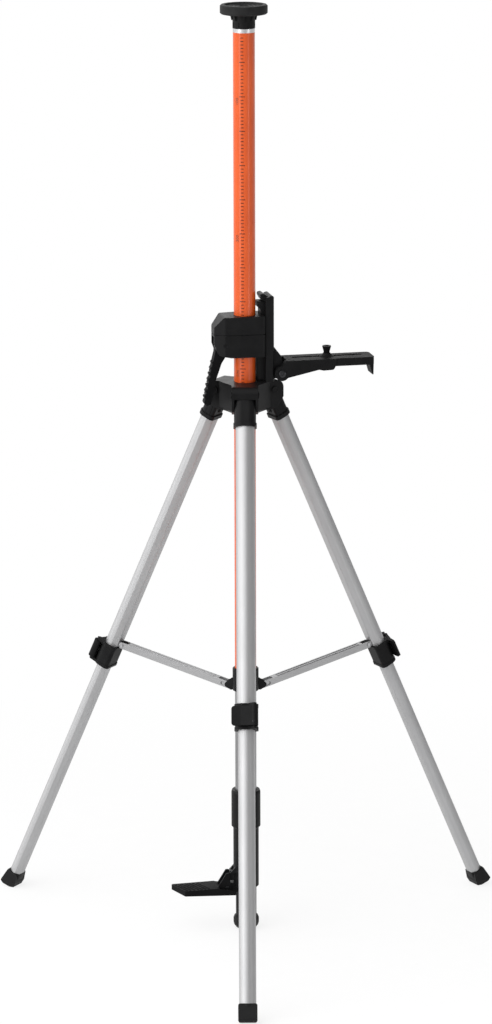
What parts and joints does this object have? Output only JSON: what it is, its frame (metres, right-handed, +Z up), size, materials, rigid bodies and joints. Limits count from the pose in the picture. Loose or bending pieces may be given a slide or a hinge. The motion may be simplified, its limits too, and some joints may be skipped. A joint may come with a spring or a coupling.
{
  "type": "laser level tripod",
  "caption": "Floor-standing laser level tripod: folding braced legs, a telescoping pole with a ceiling pad, and a sliding squeeze-clamp carriage with a slotted platform arm.",
  "frame": {"origin": "on the floor at the centre of the pole's foot", "axes": "+Z up the pole; the front leg points along -Y, the other two stand 120 degrees round on each side; +X is the viewer's right in the picture"},
  "size_m": [0.7608, 0.6588, 1.3953],
  "materials": {
    "orange_paint": "satin paint",
    "bare_tube": "satin",
    "bare_ring": "satin",
    "mast_metal": "satin",
    "leg_metal": "satin anodised",
    "brace_metal": "pressed, satin",
    "pin_steel": "plated",
    "black_plastic": "moulded",
    "hub_plastic": "moulded",
    "sleeve_plastic": "moulded",
    "pedal_plastic": "moulded",
    "carriage_plastic": "moulded",
    "lever_plastic": "moulded",
    "arm_plastic": "moulded",
    "knob_plastic": "knurled",
    "lock_plastic": "moulded",
    "inner_plastic": "moulded",
    "pad_rubber": "moulded",
    "foot_rubber": "moulded"
  },
  "bodies": {
    "stand": {"pole_tube": "orange_paint", "lower_tube": "bare_tube", "pole_ferrule": "bare_ring", "tripod_hub": "hub_plastic", "leg_pivot_pins": "pin_steel", "pedal_sleeve": "sleeve_plastic", "pedal_pin": "pin_steel", "foot_column": "black_plastic", "pole_foot": "foot_rubber"},
    "mast": {"mast_tube": "mast_metal", "mast_plug": "inner_plastic", "cap_hub": "black_plastic", "ceiling_pad": "pad_rubber"},
    "brace_ring": {"brace_hub": "hub_plastic", "brace_hub_pins": "pin_steel"},
    "carriage": {"carriage_body": "carriage_plastic", "carriage_cap": "carriage_plastic", "brake_shoe": "inner_plastic", "lever_leaf_spring": "pin_steel", "lever_pin": "pin_steel", "guide_rail": "carriage_plastic"},
    "squeeze_lever": {"clamp_lever": "lever_plastic"},
    "carrier": {"arm_carrier": "carriage_plastic", "arm_pivot_pin": "pin_steel"},
    "arm": {"arm_base": "arm_plastic"},
    "platform": {"slide_plate": "arm_plastic"},
    "saddle": {"stud_saddle": "arm_plastic"},
    "knob": {"thumb_knob": "knob_plastic"},
    "tread": {"pedal": "pedal_plastic"},
    "leg_front": {"leg_socket_front": "hub_plastic", "upper_leg_front": "leg_metal", "lock_collar_front": "lock_plastic", "lock_pin_front": "pin_steel"},
    "shin_front": {"lower_leg_front": "leg_metal", "leg_guide_front": "inner_plastic", "leg_foot_front": "foot_rubber"},
    "lock_front": {"lock_lever_front": "lock_plastic"},
    "strut_front": {"brace_front": "brace_metal", "brace_rivet_front": "pin_steel"},
    "leg_right": {"leg_socket_right": "hub_plastic", "upper_leg_right": "leg_metal", "lock_collar_right": "lock_plastic", "lock_pin_right": "pin_steel"},
    "shin_right": {"lower_leg_right": "leg_metal", "leg_guide_right": "inner_plastic", "leg_foot_right": "foot_rubber"},
    "lock_right": {"lock_lever_right": "lock_plastic"},
    "strut_right": {"brace_right": "brace_metal", "brace_rivet_right": "pin_steel"},
    "leg_left": {"leg_socket_left": "hub_plastic", "upper_leg_left": "leg_metal", "lock_collar_left": "lock_plastic", "lock_pin_left": "pin_steel"},
    "shin_left": {"lower_leg_left": "leg_metal", "leg_guide_left": "inner_plastic", "leg_foot_left": "foot_rubber"},
    "lock_left": {"lock_lever_left": "lock_plastic"},
    "strut_left": {"brace_left": "brace_metal", "brace_rivet_left": "pin_steel"}
  },
  "joints": [
    {"name": "mast_slide", "type": "slide", "parent": "stand", "child": "mast", "axis": [0, 0, 1], "range_m": [0, 0.85]},
    {"name": "leg_front_fold", "type": "hinge", "parent": "stand", "child": "leg_front", "pos_m": [0, -0.03965, 0.82903], "axis": [1, 0, 0], "range_deg": [0, 7]},
    {"name": "leg_front_length", "type": "slide", "parent": "leg_front", "child": "shin_front", "axis": [0, -0.4182, -0.9084], "range_m": [-0.28, 0.04]},
    {"name": "lock_front_flip", "type": "hinge", "parent": "leg_front", "child": "lock_front", "pos_m": [0.0113, -0.25609, 0.40575], "axis": [0, 0.4182, 0.9084], "range_deg": [0, 100]},
    {"name": "brace_front_turn", "type": "hinge", "parent": "leg_front", "child": "strut_front", "pos_m": [0, -0.21309, 0.41403], "axis": [1, 0, 0], "range_deg": [-40.86, 0.2]},
    {"name": "leg_right_fold", "type": "hinge", "parent": "stand", "child": "leg_right", "pos_m": [0.03434, 0.01982, 0.82903], "axis": [-0.5, 0.866, 0], "range_deg": [0, 7]},
    {"name": "leg_right_length", "type": "slide", "parent": "leg_right", "child": "shin_right", "axis": [0.3622, 0.2091, -0.9084], "range_m": [-0.28, 0.04]},
    {"name": "lock_right_flip", "type": "hinge", "parent": "leg_right", "child": "lock_right", "pos_m": [0.21613, 0.13783, 0.40575], "axis": [-0.3622, -0.2091, 0.9084], "range_deg": [0, 100]},
    {"name": "brace_right_turn", "type": "hinge", "parent": "leg_right", "child": "strut_right", "pos_m": [0.18454, 0.10655, 0.41403], "axis": [-0.5, 0.866, 0], "range_deg": [-40.86, 0.2]},
    {"name": "leg_left_fold", "type": "hinge", "parent": "stand", "child": "leg_left", "pos_m": [-0.03434, 0.01982, 0.82903], "axis": [-0.5, -0.866, 0], "range_deg": [0, 7]},
    {"name": "leg_left_length", "type": "slide", "parent": "leg_left", "child": "shin_left", "axis": [-0.3622, 0.2091, -0.9084], "range_m": [-0.28, 0.04]},
    {"name": "lock_left_flip", "type": "hinge", "parent": "leg_left", "child": "lock_left", "pos_m": [-0.22743, 0.11826, 0.40575], "axis": [0.3622, -0.2091, 0.9084], "range_deg": [0, 100]},
    {"name": "brace_left_turn", "type": "hinge", "parent": "leg_left", "child": "strut_left", "pos_m": [-0.18454, 0.10655, 0.41403], "axis": [-0.5, -0.866, 0], "range_deg": [-40.86, 0.2]},
    {"name": "brace_ring_slide", "type": "slide", "parent": "stand", "child": "brace_ring", "axis": [0, 0, -1], "range_m": [-0.0005, 0.1164]},
    {"name": "carriage_slide", "type": "slide", "parent": "stand", "child": "carriage", "axis": [0, 0, 1], "range_m": [0, 0.37]},
    {"name": "squeeze", "type": "hinge", "parent": "carriage", "child": "squeeze_lever", "pos_m": [-0.03228, -0.00686, 0.90003], "axis": [0.2079, -0.9781, 0], "range_deg": [0, 6], "stiffness_Nm_per_rad": 8, "springref_deg": -2.86},
    {"name": "arm_height", "type": "slide", "parent": "carriage", "child": "carrier", "axis": [0, 0, 1], "range_m": [0, 0.02]},
    {"name": "arm_fold", "type": "hinge", "parent": "carrier", "child": "arm", "pos_m": [0.05038, 0.01071, 0.85503], "axis": [-0.2079, 0.9781, 0], "range_deg": [0, 45]},
    {"name": "platform_slide", "type": "slide", "parent": "arm", "child": "platform", "axis": [0.9781, 0.2079, 0], "range_m": [0, 0.03]},
    {"name": "saddle_slide", "type": "slide", "parent": "platform", "child": "saddle", "axis": [0.9781, 0.2079, 0], "range_m": [-0.03, 0.03]},
    {"name": "knob_turn", "type": "hinge", "parent": "saddle", "child": "knob", "pos_m": [0.12056, 0.0292, 0.87903], "axis": [0, 0, 1], "continuous": true},
    {"name": "pedal_press", "type": "hinge", "parent": "stand", "child": "tread", "pos_m": [-0.02893, -0.00202, 0.06695], "axis": [0.0698, -0.9976, 0], "range_deg": [0, 20], "stiffness_Nm_per_rad": 12, "springref_deg": -5.73}
  ],
  "couplings": [
    {"joint": "leg_right_fold", "follows": "leg_front_fold", "ratio": 1},
    {"joint": "leg_left_fold", "follows": "leg_front_fold", "ratio": 1},
    {"joint": "brace_front_turn", "follows": "leg_front_fold", "ratio": -5.8085},
    {"joint": "brace_right_turn", "follows": "leg_front_fold", "ratio": -5.8085},
    {"joint": "brace_left_turn", "follows": "leg_front_fold", "ratio": -5.8085},
    {"joint": "brace_ring_slide", "follows": "leg_front_fold", "m_per_rad": 0.9447}
  ]
}
